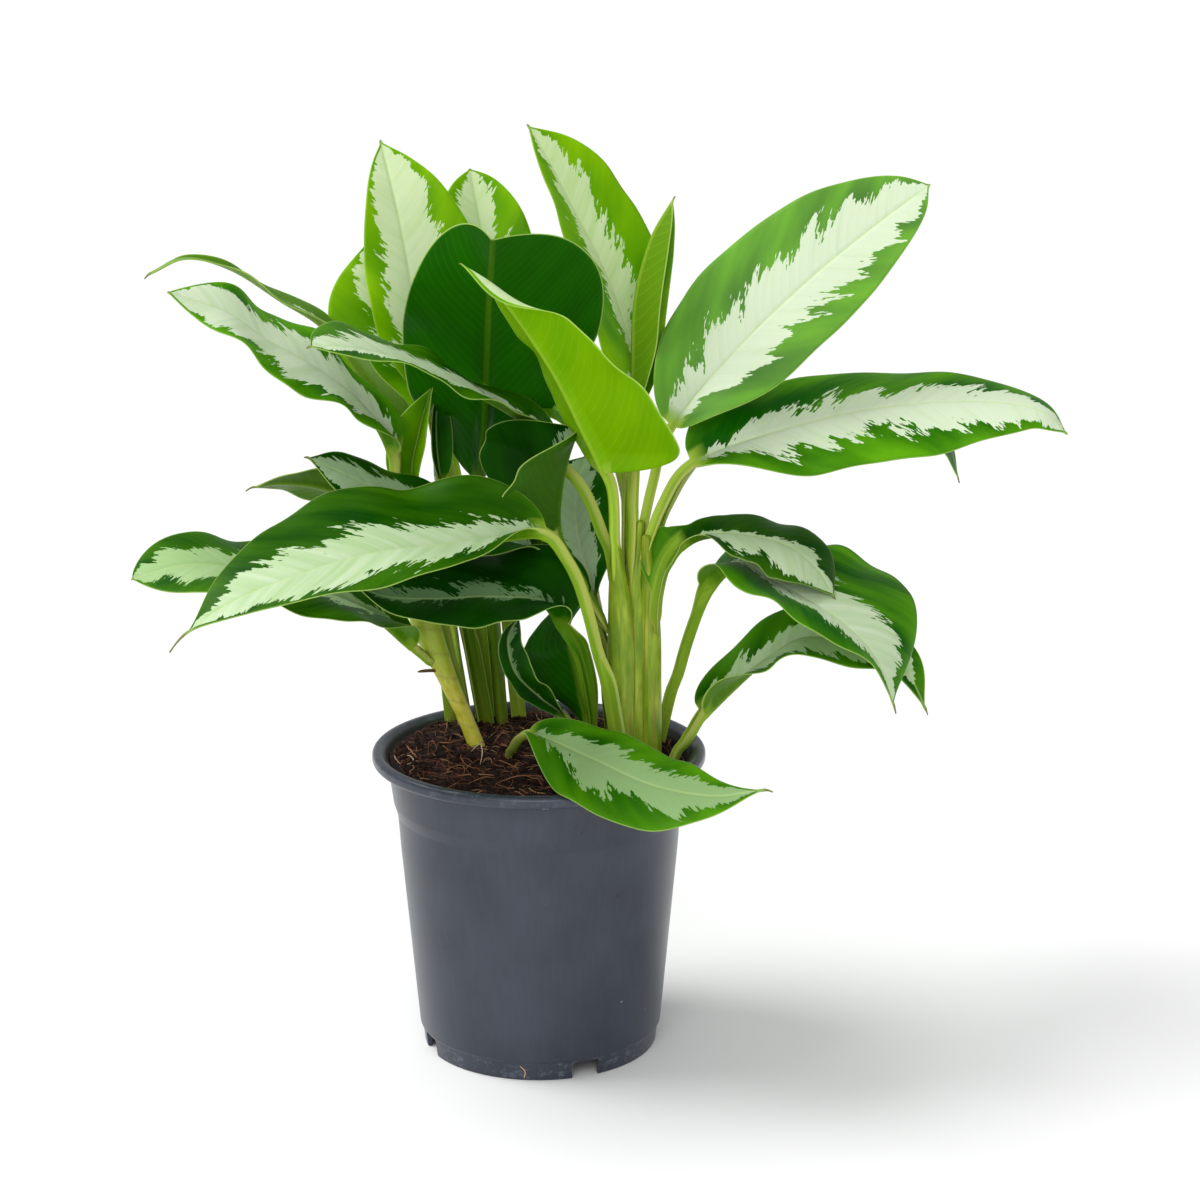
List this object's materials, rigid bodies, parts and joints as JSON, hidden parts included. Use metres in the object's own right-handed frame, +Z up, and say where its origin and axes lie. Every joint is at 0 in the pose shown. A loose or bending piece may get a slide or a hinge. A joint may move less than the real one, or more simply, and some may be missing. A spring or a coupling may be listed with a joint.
{
  "type": "potted chinese evergreen",
  "caption": "Leafy silver-centred Chinese evergreen with arching lance-shaped leaves on clasping stalks, growing in soil in a round tapered plastic nursery pot.",
  "frame": {"origin": "Middle of the whole plant's box in plan, on the ground that the pot stands on. The pot's own axis stands at x = -40.6 mm, y = 5.0 mm.", "axes": "+Z is up along the pot's axis. +X is the side of the long single leaves, the viewer's right in the picture. -Y faces the viewer of the picture."},
  "size_m": [0.5138, 0.2874, 0.5203],
  "materials": {
    "pot_plastic": "satin",
    "potting_soil": "matte",
    "stem": "satin",
    "cane": "satin",
    "leaf": "satin",
    "young_leaf": "satin",
    "dark_leaf": "satin"
  },
  "bodies": {
    "root": {"pot": "pot_plastic", "soil": "potting_soil", "stem_column": "stem", "cane": "cane", "leaf_right_top": "leaf", "leaf_right_long": "leaf", "leaf_right_behind": "leaf", "leaf_centre_forward": "young_leaf", "leaf_centre_tall": "young_leaf", "leaf_rolled_spike": "young_leaf", "leaf_right_small": "leaf", "leaf_right_low": "leaf", "leaf_right_lowest": "leaf", "leaf_left_big": "leaf", "leaf_left_under": "dark_leaf", "leaf_small_dark": "dark_leaf", "leaf_over_rim": "leaf", "leaf_funnel": "dark_leaf", "leaf_left_narrow": "leaf", "leaf_centre_back": "dark_leaf", "leaf_centre_hidden": "young_leaf", "leaf_left_middle": "dark_leaf", "leaf_back_left_tall": "young_leaf", "leaf_back_tall": "young_leaf", "leaf_back_left": "young_leaf", "leaf_centre_broad": "dark_leaf", "leaf_left_high": "leaf", "leaf_left_edge_on": "leaf", "leaf_left_rolled": "young_leaf", "leaf_left_rolled_dark": "dark_leaf", "leaf_left_thin": "leaf", "leaf_left_low": "leaf"}
  },
  "joints": []
}
